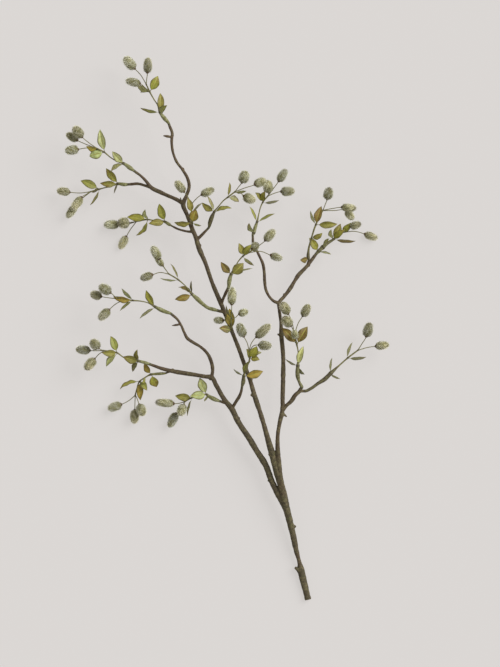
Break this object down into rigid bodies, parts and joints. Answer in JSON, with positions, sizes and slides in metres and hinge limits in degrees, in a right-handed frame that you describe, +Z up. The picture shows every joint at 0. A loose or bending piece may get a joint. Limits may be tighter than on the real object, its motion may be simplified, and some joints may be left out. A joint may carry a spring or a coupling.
{
  "type": "willow twig",
  "caption": "Cut willow twig in catkin, lying down: a forking woody stem with crooked side twigs, each ending in a leafy spray of fuzzy catkins.",
  "frame": {"origin": "middle of the twig's extents in plan, at the level of the surface it lies on", "axes": "+Y from the cut end towards the crown, +X to the right seen from above with the crown up, +Z up off the surface"},
  "size_m": [0.6668, 1.0912, 0.1175],
  "materials": {
    "bark": "rough bark",
    "leafy_spray": "soft green shoot, leaves and downy catkins"
  },
  "bodies": {
    "root": {"branch": "bark", "spray_crown": "leafy_spray", "spray_crown_left": "leafy_spray", "spray_far_left": "leafy_spray", "spray_crown_inner": "leafy_spray", "spray_crown_right": "leafy_spray", "spray_left_high": "leafy_spray", "spray_mid_left": "leafy_spray", "spray_mid_right": "leafy_spray", "spray_front": "leafy_spray", "spray_inner": "leafy_spray", "spray_winding": "leafy_spray", "spray_outer_left": "leafy_spray", "spray_left_arm": "leafy_spray", "spray_left_fork": "leafy_spray", "spray_left_low": "leafy_spray", "spray_right_upright": "leafy_spray", "spray_right_low": "leafy_spray", "spray_right_high": "leafy_spray", "spray_far_right": "leafy_spray"}
  },
  "joints": []
}
